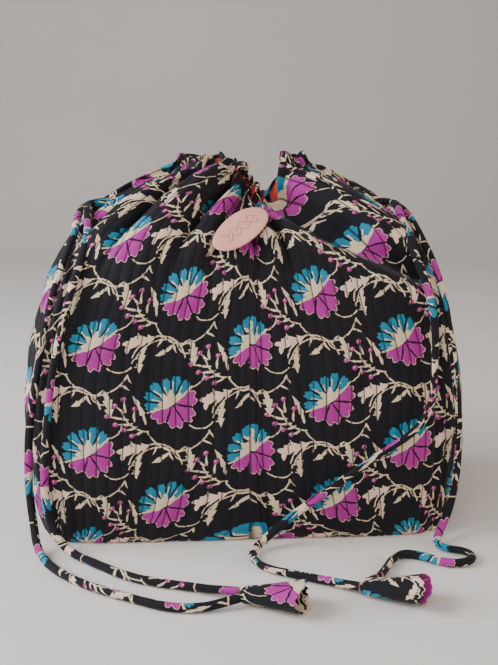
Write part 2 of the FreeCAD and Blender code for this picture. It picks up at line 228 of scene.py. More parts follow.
# ---------------------------------------------------------------- node helpers
class Nodes:
    """Short names for building a node tree."""

    def __init__(self, tree):
        self.tree = tree

    def new(self, kind, **settings):
        node = self.tree.nodes.new(kind)
        for key, value in settings.items():
            setattr(node, key, value)
        return node

    def link(self, source, target):
        if isinstance(source, (int, float, tuple, list)):
            target.default_value = source
        else:
            self.tree.links.new(source, target)

    def math(self, op, a, b=0.0, c=0.0, clamp=False):
        node = self.new("ShaderNodeMath", operation=op, use_clamp=clamp)
        for value, socket in zip((a, b, c), node.inputs):
            self.link(value, socket)
        return node.outputs[0]

    def add(self, a, b):
        return self.math("ADD", a, b)

    def sub(self, a, b):
        return self.math("SUBTRACT", a, b)

    def mul(self, a, b, clamp=False):
        return self.math("MULTIPLY", a, b, clamp=clamp)

    def mad(self, a, b, c):
        """a times b, plus c."""
        return self.math("MULTIPLY_ADD", a, b, c)

    def abs(self, a):
        return self.math("ABSOLUTE", a)

    def vmath(self, op, a, b=(0, 0, 0), scale=None):
        node = self.new("ShaderNodeVectorMath", operation=op)
        self.link(a, node.inputs[0])
        if scale is None:
            self.link(b, node.inputs[1])
        else:
            self.link(scale, node.inputs["Scale"])
        return node.outputs["Value"] if op in ("DOT_PRODUCT", "LENGTH", "DISTANCE") else node.outputs[0]

    def step(self, x, low, high):
        """0 below low, 1 above high, smooth between; low may be above high for the reverse."""
        node = self.new("ShaderNodeMapRange", interpolation_type="SMOOTHSTEP")
        self.link(x, node.inputs["Value"])
        self.link(low, node.inputs["From Min"])
        self.link(high, node.inputs["From Max"])
        return node.outputs[0]

    def mix(self, fac, a, b):
        node = self.new("ShaderNodeMix", data_type="RGBA")
        self.link(fac, node.inputs["Factor"])
        self.link(a, node.inputs[6])
        self.link(b, node.inputs[7])
        return node.outputs[2]

    def split(self, v):
        node = self.new("ShaderNodeSeparateXYZ")
        self.link(v, node.inputs[0])
        return node.outputs

    def noise(self, vector, scale, detail=2.0, rough=0.5):
        node = self.new("ShaderNodeTexNoise")
        self.link(vector, node.inputs["Vector"])
        node.inputs["Scale"].default_value = scale
        node.inputs["Detail"].default_value = detail
        node.inputs["Roughness"].default_value = rough
        return node.outputs


def group(name, vectors, numbers=(), outputs=("Mask",), colors=()):
    """New node group, with the names of its vector and number inputs and of its outputs."""
    tree = bpy.data.node_groups.new(name, "ShaderNodeTree")
    for labels, way, kind in ((vectors, "INPUT", "Vector"), (numbers, "INPUT", "Float"),
                              (colors, "OUTPUT", "Color"), (outputs, "OUTPUT", "Float")):
        for label in labels:
            tree.interface.new_socket(label, in_out=way, socket_type="NodeSocket" + kind)
    n = Nodes(tree)
    return n, n.new("NodeGroupInput").outputs, n.new("NodeGroupOutput").inputs


def local_frame(n, where, centre, angle):
    """Place within the repeat, seen from a motif's centre and turned to its own axes."""
    p = n.split(n.vmath("SUBTRACT", where, centre))
    row = n.math("ROUND", n.math("DIVIDE", p[1], REPEAT_H))
    x = n.mad(row, -ROW_SHIFT, p[0])
    y = n.mad(row, -REPEAT_H, p[1])
    x = n.math("WRAP", x, REPEAT_W / 2, -REPEAT_W / 2)
    c = n.math("COSINE", angle)
    s = n.math("SINE", angle)
    along = n.add(n.mul(x, c), n.mul(y, s))
    across = n.sub(n.mul(y, c), n.mul(x, s))
    return along, across


EDGE = 0.25     # softness of a printed edge, mm


def leaf_group():
    """A pointed leaf with teeth, lying along its angle, with its middle at the centre."""
    n, i, o = group("leaf", ("Where", "Centre"), ("Angle", "Length", "Width", "Teeth", "Bend"))
    x, y = local_frame(n, i["Where"], i["Centre"], i["Angle"])
    t = n.add(n.math("DIVIDE", x, i["Length"]), 0.5)
    t_in = n.mul(t, n.sub(1.0, t), clamp=True)
    bow = n.mul(n.mul(t_in, 4.0), i["Bend"])
    y = n.sub(y, bow)
    saw = n.math("FRACT", n.mul(t, i["Teeth"]))
    tooth = n.mad(saw, -0.75, 1.3)
    shape = n.mul(n.math("POWER", n.mul(t_in, 4.0), 0.7), tooth)
    edge = n.mad(shape, i["Width"], n.mad(n.step(t_in, 0.0, 0.02), 0.6, -0.6))
    inside = n.sub(edge, n.abs(y))
    n.link(n.step(inside, -EDGE, EDGE), o[0])
    return n.tree


def arc_group():
    """A stem along part of a circle. Its centre stands 0.6 of the radius out towards the stem."""
    n, i, o = group("arc", ("Where", "Centre"), ("Radius", "Middle", "Half", "Thick"))
    x, y = local_frame(n, i["Where"], i["Centre"], i["Middle"])
    x = n.mad(i["Radius"], 0.6, x)
    r = n.math("SQRT", n.add(n.mul(x, x), n.mul(y, y)))
    a = n.abs(n.math("ARCTAN2", y, x))
    line = n.abs(n.sub(r, i["Radius"]))
    inside = n.sub(i["Thick"], line)
    reach = n.mul(n.sub(i["Half"], a), i["Radius"])
    n.link(n.step(n.math("MINIMUM", inside, reach), -EDGE, EDGE), o[0])
    return n.tree


def dot_group():
    """A round berry."""
    n, i, o = group("dot", ("Where", "Centre"), ("Radius",))
    x, y = local_frame(n, i["Where"], i["Centre"], 0.6)
    y = n.mul(y, 1.25)
    r = n.math("SQRT", n.add(n.mul(x, x), n.mul(y, y)))
    n.link(n.step(n.sub(i["Radius"], r), -EDGE, EDGE), o[0])
    return n.tree


def flower_group():
    """A fan flower: toothed petals of two colours round a pale heart that runs out between them."""
    n, i, o = group("flower", ("Where", "Centre"), outputs=("Blue", "Pink", "Pale"))
    x, y = local_frame(n, i["Where"], i["Centre"], math.radians(32))
    y = n.add(y, n.mul(n.mul(x, x), -0.008))
    # upper half: six narrow petals
    up_r = n.math("SQRT", n.add(n.mul(x, x), n.mul(y, y)))
    up_a = n.math("DIVIDE", n.math("ARCTAN2", y, x), math.pi)
    six = n.mul(up_a, 6.0)
    beat = n.sub(n.math("FRACT", six), 0.5)
    side = n.abs(beat)
    which = n.math("FLOOR", six)
    vary = n.math("SINE", n.mul(which, 2.4))
    teeth = n.abs(n.math("SINE", n.mul(beat, 9.0)))
    tip = n.add(n.mad(vary, 0.8, 18.4), n.mul(teeth, 1.2))
    tip = n.sub(tip, n.mul(n.math("POWER", n.mul(side, 2.0), 4.0), 5.0))
    half = n.step(up_r, 6.0, 17.0)
    half = n.mad(half, 0.11, 0.31)
    petal = n.mul(n.step(n.sub(tip, up_r), -EDGE, EDGE),
                   n.step(n.sub(half, side), -0.02, 0.02))
    upper = n.step(y, 0.6, 1.0)
    blue = n.mul(n.mul(petal, upper), n.step(up_r, 6.5, 7.2))
    # lower half: four broad lobed petals
    four = n.mul(up_a, -4.0)
    beat2 = n.sub(n.math("FRACT", four), 0.5)
    side2 = n.abs(beat2)
    lobes = n.abs(n.math("SINE", n.mul(beat2, 8.2)))
    tip2 = n.mad(lobes, 2.6, 17.3)
    tip2 = n.sub(tip2, n.mul(n.math("POWER", n.mul(side2, 2.0), 5.0), 4.0))
    half2 = n.mad(n.step(up_r, 3.0, 15.0), 0.10, 0.35)
    petal2 = n.mul(n.step(n.sub(tip2, up_r), -EDGE, EDGE),
                    n.step(n.sub(half2, side2), -0.02, 0.02))
    lower = n.step(y, -0.6, -1.0)
    pink = n.mul(n.mul(petal2, lower), n.step(up_r, 2.2, 3.0))
    # heart, its rays along one edge of each blue petal, and the line across
    ray = n.sub(n.abs(n.sub(beat, 0.28)), 0.075)
    ray_end = n.mad(vary, 1.5, 14.5)
    ray = n.mul(n.step(ray, 0.02, -0.02), n.step(n.sub(ray_end, up_r), -EDGE, EDGE))
    ray = n.mul(ray, upper)
    heart_r = n.mad(n.math("SINE", n.mul(up_a, 23.0)), 2.1, 8.2)
    heart = n.mul(n.step(n.sub(heart_r, up_r), -EDGE, EDGE), n.step(y, -1.6, -1.1))
    bar = n.sub(0.75, n.abs(y))
    bar = n.mul(n.step(bar, -EDGE, EDGE), n.step(n.abs(x), 20.0, 19.0))
    pale = n.math("MAXIMUM", n.math("MAXIMUM", ray, heart), bar)
    rim = n.mul(pink, n.step(n.sub(tip2, up_r), 0.9, 0.4))
    pale = n.math("MAXIMUM", pale, n.mul(rim, 0.75))
    n.link(blue, o["Blue"])
    n.link(pink, o["Pink"])
    n.link(pale, o["Pale"])
    return n.tree


D = math.radians
# Stems round a flower at (0, 0): circle's centre, radius, middle angle, half angle, half thickness,
# in mm and degrees
STEMS = [
    ((4, -11), 25.0, -88, 67, 0.50),
    ((20, -7), 12.0, -85, 48, 0.45),
    ((49, -11), 20.0, 92, 78, 0.50),
    ((52, -15), 21.5, 118, 42, 0.42),
    ((33, -11), 3.2, 40, 150, 0.42),
    ((-17, -2), 20.0, -128, 38, 0.50),
    ((70, 6), 9.0, -120, 45, 0.45),
    ((12, 24), 12.0, -60, 50, 0.42),
]
# Leaves: stalk, angle, length, half width, teeth, bend, tint (0 cream, 1 pinkish)
LEAVES = [
    ((11, -33), -78, 20.0, 3.4, 3.0, 1.2, 0),
    ((38, 2), -96, 21.0, 2.6, 3.0, -1.2, 0),
    ((58, 3), 216, 15.0, 1.9, 2.0, 1.0, 0),
    ((20, 2), 14, 25.0, 4.2, 4.0, -0.6, 1),
    ((24, -5), 66, 15.0, 2.6, 2.0, 1.0, 1),
    ((-19, -17), 114, 24.0, 1.9, 3.0, -1.4, 0),
    ((-11, -32), -110, 8.0, 0.9, 1.0, 0.4, 0),
    ((-2, -36), -62, 8.0, 0.9, 1.0, -0.4, 0),
    ((22, -28), -24, 8.0, 0.9, 1.0, 0.4, 0),
    ((27, -20), -60, 7.0, 0.8, 1.0, -0.4, 0),
    ((34, 4), 120, 8.0, 0.9, 1.0, 0.4, 0),
    ((64, 2), 40, 9.0, 0.9, 1.0, 0.4, 0),
]
BERRIES = [(-41, -3), (-35, 2), (-47, -11), (-41, -17), (-35, -21), (-29, -25), (-27, -5)]
BERRY_STEMS = [((-34, -8), 142, 8.0, 0.5), ((-33, -8), 98, 9.0, 0.5), ((-31, -13), 172, 15.0, 0.5),
               ((-28, -16), 184, 12.0, 0.5), ((-25, -18), 198, 9.0, 0.5), ((-21, -21), 206, 8.0, 0.5),
               ((-27, -15), 90, 9.0, 0.5)]


def print_group():
    """The whole print: colour at a place on the cloth in millimetres."""
    n, i, o = group("floral_print", ("Where",), outputs=(), colors=("Color",))
    leaf, arc, dot, flower = leaf_group(), arc_group(), dot_group(), flower_group()
    wobble = n.noise(i["Where"], 0.35, 2.0)["Color"]
    wobble = n.vmath("SCALE", n.vmath("SUBTRACT", wobble, (0.5, 0.5, 0.5)), scale=1.5)
    where = n.vmath("ADD", i["Where"], wobble)

    def place(tree, centre, **values):
        node = n.new("ShaderNodeGroup", node_tree=tree)
        n.link(where, node.inputs["Where"])
        node.inputs["Centre"].default_value = (centre[0], centre[1], 0)
        for key, value in values.items():
            node.inputs[key].default_value = value
        return node.outputs

    def either(masks):
        total = masks[0]
        for mask in masks[1:]:
            total = n.math("MAXIMUM", total, mask)
        return total

    def along(start, degrees, distance):
        return (start[0] + distance * math.cos(D(degrees)), start[1] + distance * math.sin(D(degrees)))

    def leaf_on(foot, degrees, length, width, teeth, bend):
        return place(leaf, along(foot, degrees, length / 2), Angle=D(degrees), Length=length,
                     Width=width, Teeth=teeth, Bend=bend)[0]

    stems = [place(arc, along(c, m, 0.6 * r), Radius=r, Middle=D(m), Half=D(h), Thick=t)[0]
             for c, r, m, h, t in STEMS]
    twigs = [leaf_on(foot, a, length, w + 0.35, 1.0, 0.6) for foot, a, length, w in BERRY_STEMS]
    leaves = [(leaf_on(foot, a, length, 0.86 * w, teeth, bend), tint)
              for foot, a, length, w, teeth, bend, tint in LEAVES]
    cream = either(stems + twigs + [m for m, tint in leaves if not tint])
    bud = either([m for m, tint in leaves if tint])
    berries = either([place(dot, c, Radius=2.1)[0] for c in BERRIES])
    seeds = either([place(dot, (c[0] - 0.5, c[1] + 0.5), Radius=0.8)[0] for c in BERRIES])
    bloom = place(flower, (0, 0))

    patch = n.noise(i["Where"], 0.05, 3.0)["Fac"]
    fibre = n.noise(n.vmath("MULTIPLY", i["Where"], (1.0, 0.2, 1.0)), 2.2, 2.0)["Fac"]
    tone = n.mad(fibre, 0.5, n.mul(patch, 0.5))
    ground = n.mix(tone, (0.0045, 0.0040, 0.0062, 1), (0.0105, 0.0092, 0.0135, 1))
    cream_c = n.mix(tone, (0.58, 0.44, 0.29, 1), (0.82, 0.67, 0.47, 1))
    bud_c = n.mix(tone, (0.72, 0.47, 0.37, 1), (0.86, 0.66, 0.52, 1))
    blue_c = n.mix(tone, (0.004, 0.135, 0.245, 1), (0.016, 0.270, 0.400, 1))
    pink_c = n.mix(tone, (0.270, 0.014, 0.180, 1), (0.500, 0.040, 0.340, 1))
    berry_c = n.mix(tone, (0.270, 0.018, 0.130, 1), (0.500, 0.070, 0.280, 1))
    color = n.mix(cream, ground, cream_c)
    color = n.mix(bud, color, bud_c)
    color = n.mix(berries, color, berry_c)
    color = n.mix(n.mul(seeds, 0.7), color, bud_c)
    color = n.mix(bloom["Blue"], color, blue_c)
    color = n.mix(bloom["Pink"], color, pink_c)
    color = n.mix(bloom["Pale"], color, cream_c)
    n.link(color, o["Color"])
    return n.tree


PRINT = print_group()


def new_material(name):
    material = bpy.data.materials.new(name)
    material.use_nodes = True
    tree = material.node_tree
    shader = tree.nodes["Principled BSDF"]
    return material, Nodes(tree), shader


def cloth_mm(n):
    """Place on the cloth in millimetres."""
    return n.vmath("SCALE", n.new("ShaderNodeUVMap", uv_map="cloth").outputs[0], scale=1000.0)


def add_bump(n, shader, height, strength, distance):
    bump = n.new("ShaderNodeBump")
    bump.inputs["Strength"].default_value = strength
    bump.inputs["Distance"].default_value = distance
    n.link(height, bump.inputs["Height"])
    n.link(bump.outputs[0], shader.inputs["Normal"])


def weave_height(n, uv_mm, pitch):
    """Height of a plain weave, from a place on the cloth in millimetres."""
    x, y = n.split(uv_mm)[0:2]
    warp = n.math("SINE", n.mul(x, 2 * math.pi / pitch))
    weft = n.math("SINE", n.mul(y, 2 * math.pi / pitch))
    return n.mul(warp, weft)


def cotton_material(name, offset, quilted, turn=0.0, zoom=1.0):
    """Printed cotton. Quilted cotton also has rows of stitches along the cloth's height, with painted
    shade along each stitched groove.
    """
    material, n, shader = new_material(name)
    uv_mm = cloth_mm(n)
    turned = n.new("ShaderNodeVectorRotate", rotation_type="Z_AXIS")
    n.link(n.vmath("SCALE", uv_mm, scale=zoom), turned.inputs["Vector"])
    turned.inputs["Angle"].default_value = turn
    place = n.vmath("ADD", turned.outputs[0], (offset[0], offset[1], 0))
    look = n.new("ShaderNodeGroup", node_tree=PRINT)
    n.link(place, look.inputs["Where"])
    color = look.outputs["Color"]
    height = n.mul(weave_height(n, uv_mm, 0.55), 0.06)
    if quilted:
        step = QUILT_STEP * 1000
        x, y = n.split(uv_mm)[0:2]
        off = n.abs(n.math("WRAP", x, step / 2, -step / 2))
        stitch = n.abs(n.math("WRAP", y, 1.4, -1.4))
        thread = n.mul(n.step(off, 0.42, 0.22), n.step(stitch, 1.1, 0.9))
        # the groove mask darkens the colour as painted shade along each quilting line, and also dents the
        # bump
        groove_dent_and_shade = n.step(off, 0.9, 0.15)
        color = n.mix(n.mul(groove_dent_and_shade, 0.7), color, (0.006, 0.006, 0.008, 1))
        color = n.mix(n.mul(thread, 0.5), color, (0.020, 0.019, 0.024, 1))
        height = n.add(height, n.mul(groove_dent_and_shade, -0.35))
        height = n.add(height, n.mul(thread, 0.25))
    crumple = n.noise(uv_mm, 0.12, 4.0, 0.6)["Fac"]
    height = n.add(height, n.mul(crumple, 0.5))
    add_bump(n, shader, height, 0.6, MM)
    n.link(color, shader.inputs["Base Color"])
    rough = n.mad(crumple, 0.15, 0.72)
    n.link(rough, shader.inputs["Roughness"])
    shader.inputs["Specular IOR Level"].default_value = 0.22
    shader.inputs["Sheen Weight"].default_value = 0.06
    shader.inputs["Sheen Roughness"].default_value = 0.4
    return material


def lining_material():
    material, n, shader = new_material("red_lining_cloth")
    uv_mm = cloth_mm(n)
    tone = n.noise(uv_mm, 0.08, 4.0)["Fac"]
    slub = n.noise(n.vmath("MULTIPLY", uv_mm, (0.3, 3.0, 1.0)), 0.8, 2.0)["Fac"]
    mixed = n.mad(slub, 0.4, n.mul(tone, 0.6))
    n.link(n.mix(mixed, (0.36, 0.012, 0.010, 1), (0.62, 0.035, 0.022, 1)), shader.inputs["Base Color"])
    add_bump(n, shader, n.mad(weave_height(n, uv_mm, 0.6), 0.08, n.mul(tone, 0.6)), 0.5, MM)
    shader.inputs["Roughness"].default_value = 0.8
    shader.inputs["Sheen Weight"].default_value = 0.2
    return material


def leather_material():
    material, n, shader = new_material("pink_leather")
    uv_mm = cloth_mm(n)
    cells = n.new("ShaderNodeTexVoronoi", feature="DISTANCE_TO_EDGE")
    n.link(uv_mm, cells.inputs["Vector"])
    cells.inputs["Scale"].default_value = 1.6
    tone = n.noise(uv_mm, 0.10, 3.0)["Fac"]
    wear = n.noise(uv_mm, 0.5, 4.0)["Fac"]
    color = n.mix(n.mad(wear, 0.4, n.mul(tone, 0.6)),
                  (0.74, 0.300, 0.245, 1), (0.90, 0.45, 0.385, 1))
    foil = foil_mask(n, uv_mm)
    color = n.mix(n.mul(foil, 0.85), color, (0.50, 0.26, 0.10, 1))
    n.link(color, shader.inputs["Base Color"])
    n.link(n.mul(foil, 0.8), shader.inputs["Metallic"])
    n.link(n.mad(foil, -0.15, n.mad(wear, 0.2, 0.40)),
           shader.inputs["Roughness"])
    grain = n.step(cells.outputs[0], 0.0, 0.18)
    add_bump(n, shader, n.add(n.mul(grain, 0.3), n.mul(foil, -0.4)), 0.35, 0.6 * MM)
    return material


def foil_mask(n, uv_mm):
    """A small ornament of two waved lines and a row of dots, in place of any wording."""
    x, y = n.split(uv_mm)[0:2]
    span = n.step(n.abs(x), 16.0, 15.0)
    parts = []
    for rise, phase, size in ((2.6, 0.0, 1.5), (-2.6, 1.9, 1.3)):
        wave = n.mul(n.math("SINE", n.mad(x, 0.75, phase)), size)
        line = n.abs(n.sub(n.sub(y, rise), wave))
        parts.append(n.step(line, 0.45, 0.25))
    gap = n.abs(n.math("WRAP", x, 2.0, -2.0))
    dot = n.math("SQRT", n.add(n.mul(gap, gap), n.mul(y, y)))
    parts.append(n.step(dot, 0.6, 0.4))
    total = n.math("MAXIMUM", n.math("MAXIMUM", parts[0], parts[1]), parts[2])
    return n.mul(total, span)


# ---------------------------------------------------------------- camera, light, floor
def camera():
    data = bpy.data.cameras.new("view")
    data.lens = 50
    data.sensor_width = 36
    obj = bpy.data.objects.new("view", data)
    bpy.context.scene.collection.objects.link(obj)
    turn = math.radians(-3.6)
    away = 0.658
    base_front = -78 * MM
    obj.location = (math.sin(turn) * away + 0.5 * MM, base_front - math.cos(turn) * away, 0.301)
    obj.rotation_euler = (math.radians(90 - 12), 0, turn)
    bpy.context.scene.camera = obj


def area_light(name, place, target, size, power, color):
    data = bpy.data.lights.new(name, "AREA")
    data.shape = "RECTANGLE"
    data.size, data.size_y = size
    data.energy = power
    data.color = color
    obj = bpy.data.objects.new(name, data)
    obj.location = place
    direction = Vector(target) - Vector(place)
    obj.rotation_euler = direction.to_track_quat("-Z", "Y").to_euler()
    bpy.context.scene.collection.objects.link(obj)


def lights():
    area_light("window", (-1.45, -0.25, 0.95), (0, 0, 0.12), (1.1, 1.1), 44, (0.86, 0.93, 1.0))
    area_light("front_fill", (-0.55, -1.7, 1.25), (0, 0, 0.12), (1.4, 1.0), 19, (1.0, 0.96, 0.90))
    area_light("warm_side", (1.5, -0.6, 0.9), (0, 0, 0.12), (1.0, 1.0), 11, (1.0, 0.90, 0.78))
    world = bpy.data.worlds.new("room")
    bpy.context.scene.world = world
    world.use_nodes = True
    background = world.node_tree.nodes["Background"]
    background.inputs["Color"].default_value = (0.90, 0.86, 0.82, 1)
    background.inputs["Strength"].default_value = 0.34


def plain_material(name, low, high, scale):
    material, n, shader = new_material(name)
    where = n.new("ShaderNodeTexCoord").outputs["Object"]
    n.link(n.mix(n.noise(where, scale, 3.0)["Fac"], low, high), shader.inputs["Base Color"])
    shader.inputs["Roughness"].default_value = 0.6
    return material


def stage_sweep():
    """Pale table top that curves up into a warm wall."""
    wall_y = 2.6
    bend = 1.1
    half = 5.0
    profile = [(-3.5, 0.0), (wall_y - bend, 0.0)]
    steps = 14
    for k in range(1, steps + 1):
        a = math.pi / 2 * k / steps
        profile.append((wall_y - bend + bend * math.sin(a), bend - bend * math.cos(a)))
    profile.append((wall_y, 3.4))
    points = np.array([[(-half, y, z), (half, y, z)] for y, z in profile])
    uv = points[:, :, 0:2].copy()
    material = plain_material("sweep", (0.74, 0.70, 0.665, 1), (0.78, 0.74, 0.70, 1), 3.0)
    obj = grid_mesh("sweep", points, uv, False, material)
    obj.location.z = -0.0002


# ---------------------------------------------------------------- the cloth of the bag
def catmull(rows, count):
    """Smooth rows through the given ones, evenly spaced along their length."""
    rows = np.array(rows, float)
    ends = np.vstack([2 * rows[0] - rows[1], rows, 2 * rows[-1] - rows[-2]])
    out = []
    for k in range(1, len(ends) - 2):
        p0, p1, p2, p3 = ends[k - 1:k + 3]
        for t in np.linspace(0, 1, 24, endpoint=False):
            out.append(0.5 * (2 * p1 + (p2 - p0) * t + (2 * p0 - 5 * p1 + 4 * p2 - p3) * t * t
                              + (3 * p1 - p0 - 3 * p2 + p3) * t ** 3))
    out.append(rows[-1])
    out = np.array(out)
    return out[np.linspace(0, len(out) - 1, count).round().astype(int)]


def outline(t, half_w, half_d, square):
    """Places on a rounded rectangle at angles t; a higher squareness has tighter corners."""
    c, s = np.cos(t), np.sin(t)
    power = 2 / square
    return half_w * np.sign(c) * np.abs(c) ** power, half_d * np.sign(s) * np.abs(s) ** power


def ring_table():
    """Angle round the bag against cloth length at the widest height, from the front's middle."""
    t = np.linspace(-math.pi / 2, 1.5 * math.pi, 20001)
    x, y = outline(t, HALF_W, HALF_D, 5)
    length = np.concatenate([[0], np.cumsum(np.hypot(np.diff(x), np.diff(y)))])
    return t, length


def pleat_layout():
    """Edges of the pleats as shares of the cloth's length round the bag, and each one's depth."""
    rng = np.random.RandomState(7)
    widths = 1 + 0.32 * rng.uniform(-1, 1, PLEATS)
    edges = np.concatenate([[0], np.cumsum(widths)]) / widths.sum()
    depth = rng.uniform(0.75, 1.15, PLEATS)
    lift = rng.uniform(-1, 1, PLEATS)
    return edges + 0.012, depth, lift


def bag_surface(lining=False):
    """A cloth layer: rows from the base to the rim, columns round the bag, and its flat lengths."""
    t_table, s_table = ring_table()
    around = s_table[-1]
    s = np.linspace(0, around, CLOTH_COLUMNS, endpoint=False)
    share = s / around
    edges, depth, lift = pleat_layout()
    wrapped = np.mod(share - edges[0], 1) + edges[0]
    which = np.clip(np.searchsorted(edges, wrapped, side="right") - 1, 0, PLEATS - 1)
    phase = (wrapped - edges[which]) / (edges[which + 1] - edges[which])

    t0 = np.interp(s, s_table, t_table)
    side = np.cos(t0)
    front = np.clip(-np.sin(t0), 0, 1)
    back = np.clip(np.sin(t0), 0, 1)
    body = catmull(BODY_ROWS, 130)
    neck = catmull(NECK_ROWS, 110)

    high = np.where(side > 0, RIM_RIGHT_Z, RIM_LEFT_Z)
    out_of_dip = smoothstep(0.12, 0.42, np.abs(side - DIP_SHARE))
    rim_front = RIM_FRONT_Z + (high - FRONT_DROP - RIM_FRONT_Z) * out_of_dip
    rim_back = high - (high - RIM_BACK_Z) * np.exp(-((side - NOTCH_SHARE) / NOTCH_HALF_SHARE) ** 2)
    rim = np.where(front > 0, rim_front, rim_back) + lift[which] * 2.0 * MM * np.sin(math.pi * phase)
    frontness = smoothstep(0.35, 0.95, front) + 0.35 * smoothstep(0.5, 1, back)

    # How deep the pleats are round the bag: full on the left, slight across the front right
    calm = smoothstep(0.02, 0.10, share) * smoothstep(0.30, 0.20, share)
    deep = (1 - 0.72 * calm) * depth[which]

    rows = []
    for z, w, d, square in body:
        x, y = outline(t0, HALF_W * w, HALF_D * d, square)
        rows.append(np.stack([x, y, np.full_like(x, z)], 1))
    w_top, d_top = BODY_ROWS[-1][1:3]
    for g, (scale, rise_side, rise_front) in zip(np.linspace(0, 1, len(neck)), neck):
        if g == 0:
            continue
        fold = smoothstep(0.05, 0.75, g)
        shifted = phase - 0.75 * fold * np.sin(2 * math.pi * phase) / (2 * math.pi)
        s_here = (edges[which] + shifted * (edges[which + 1] - edges[which])) * around
        t = np.interp(np.mod(s_here, around), s_table, t_table)
        square = SHOULDER_SQUARE + (MOUTH_SQUARE - SHOULDER_SQUARE) * smoothstep(0, 0.8, g)
        x, y = outline(t, HALF_W * w_top * scale, HALF_D * d_top * scale, square)
        rise = rise_side + (rise_front - rise_side) * frontness
        z = SHOULDER_Z + (rim - SHOULDER_Z) * rise
        rows.append(np.stack([x, y, z], 1))
    points = np.array(rows)
    # even rows along the middle column of the right side
    path = points[:, CLOTH_COLUMNS // 4]
    run = np.concatenate([[0], np.cumsum(np.linalg.norm(np.diff(path, axis=0), axis=1))])
    wanted = np.linspace(0, run[-1], CLOTH_ROWS)
    pos = np.interp(wanted, run, np.arange(len(run)))
    lower = np.floor(pos).astype(int).clip(0, len(run) - 2)
    part = (pos - lower)[:, None, None]
    points = points[lower] * (1 - part) + points[lower + 1] * part
    body_share = (pos - (len(body) - 1)) / (len(neck) - 1)
    g_rows = np.clip(body_share, 0, 1)

    uv_v = np.concatenate([np.zeros((1, CLOTH_COLUMNS)),
                           np.cumsum(np.linalg.norm(np.diff(points, axis=0), axis=2), axis=0)])
    normals = grid_normals(points, True)
    plain = points
    # pleats run in and down, towards the middle of the bag, so that they never cross each other
    fold = smoothstep(-0.08, 0.55, g_rows)[:, None]
    rim_near = smoothstep(0.8, 1.0, g_rows)[:, None]
    tube = np.sin(math.pi * phase)[None, :] ** (0.55 + 0.35 * rim_near)
    reach_x = np.abs(points[..., 0]).max(1, keepdims=True) - np.abs(points[..., 1]).max(1, keepdims=True)
    out_x = points[..., 0] - np.clip(points[..., 0], -reach_x, reach_x)
    out = np.stack([out_x, points[..., 1], np.zeros_like(out_x)], 2)
    distance = np.linalg.norm(out, axis=2)
    tilt = np.radians(42 * smoothstep(0.0, 0.3, g_rows) * smoothstep(1.0, 0.75, g_rows))[:, None, None]
    outward = out / np.maximum(distance, MM)[..., None] * np.cos(tilt)
    outward = outward + np.array([0, 0, 1.0]) * np.sin(tilt)
    if lining:
        # the lining crosses the pleats at their roots and joins their crests at the rim
        tube = tube * (0.25 + 0.75 * smoothstep(0.84, 1.0, g_rows)[:, None])
    size = PLEAT_DEPTH * fold * deep[None, :] * (1 - 0.55 * smoothstep(0.65, 1.0, g_rows)[:, None])
    size = np.minimum(size, 0.75 * distance)
    points = points - outward * (size * (1 - tube))[..., None]
    points = points + outward * (PLEAT_SWELL * fold * deep[None, :] * tube)[..., None]
    if lining:
        points = points - normals * (LINING_INSET * (1 - 0.5 * rim_near))[..., None]
    # fine gathers at the drawstring casing, opening out into a ruffle at the rim
    ripple = np.sin(2 * math.pi * (share * 31 + 0.45 * np.sin(2 * math.pi * share * 7)))
    pinch = np.exp(-((g_rows - 0.80) / 0.05) ** 2)[:, None]
    flare = smoothstep(0.84, 1.0, g_rows)[:, None]
    gathers = 1.2 * MM * smoothstep(0.5, 0.8, g_rows)[:, None] + 0.9 * MM * flare
    points = points + normals * (gathers * ripple - 2.2 * MM * pinch + 2.0 * MM * flare)[..., None]
    points[..., 2] += flare * (1.8 * MM * np.sin(2 * math.pi * share * 13 + 1.0) + 0.4 * MM * ripple)
    # ridge where the front face folds over, on the right
    x, y, z = plain[..., 0], plain[..., 1], plain[..., 2]
    line = RIDGE_Z - RIDGE_SLOPE * (x - RIDGE_X)
    near = smoothstep(0.004, 0.03, x) * smoothstep(0.158, 0.135, x) * smoothstep(-0.01, -0.03, y)
    over = z - line
    push = 9 * MM * np.exp(-((over + 7 * MM) / (11 * MM)) ** 2)
    push = push - 13 * MM * np.exp(-((over - 10 * MM) / (10 * MM)) ** 2)
    points = points + normals * (push * near)[..., None]
    # slow dents, crumple, and the puff between the quilting rows
    flat = plain.reshape(-1, 3)
    slow = value_noise(flat, 0.085, 1) * 2.6 * MM + value_noise(flat, 0.038, 2) * 1.3 * MM
    fine = value_noise(flat, 0.014, 3) * 0.45 * MM
    settle = smoothstep(0.0, 0.02, z)
    dent = (slow + fine).reshape(points.shape[:2]) * settle
    quilt = np.abs(np.sin(math.pi * s / QUILT_STEP)) ** 0.6
    places = np.stack([uv_v.ravel(), np.tile(s, CLOTH_ROWS), np.zeros(uv_v.size)], 1)
    row_break = 1 + 0.35 * value_noise(places, 0.012, 4)
    puff = QUILT_DEPTH * (quilt[None, :] * row_break.reshape(points.shape[:2]) - 1)
    points = points + normals * (dent + puff)[..., None]
    # corner seams and the seam up the front
    seam_x = 0.826 * HALF_W
    for place in (seam_x, -seam_x):
        gap = (x - place) / (2.0 * MM)
        below = smoothstep(SHOULDER_Z + 0.01, SHOULDER_Z - 0.02, z)
        points = points - normals * (1.6 * MM * np.exp(-gap ** 2) * below)[..., None]
    gap = (s - 4 * MM) / (1.2 * MM)
    low = smoothstep(0.2, 0.15, points[..., 2])
    points = points - normals * (1.2 * MM * np.exp(-gap ** 2)[None, :] * low)[..., None]
    points[..., 2] = np.maximum(points[..., 2], 0.0)
    return points, s, uv_v, around


def cloth_uv(s, v, around):
    full = np.concatenate([s, [around]])
    return np.stack([np.tile(full, (len(v), 1)), np.concatenate([v, v[:, :1]], 1)], 2)


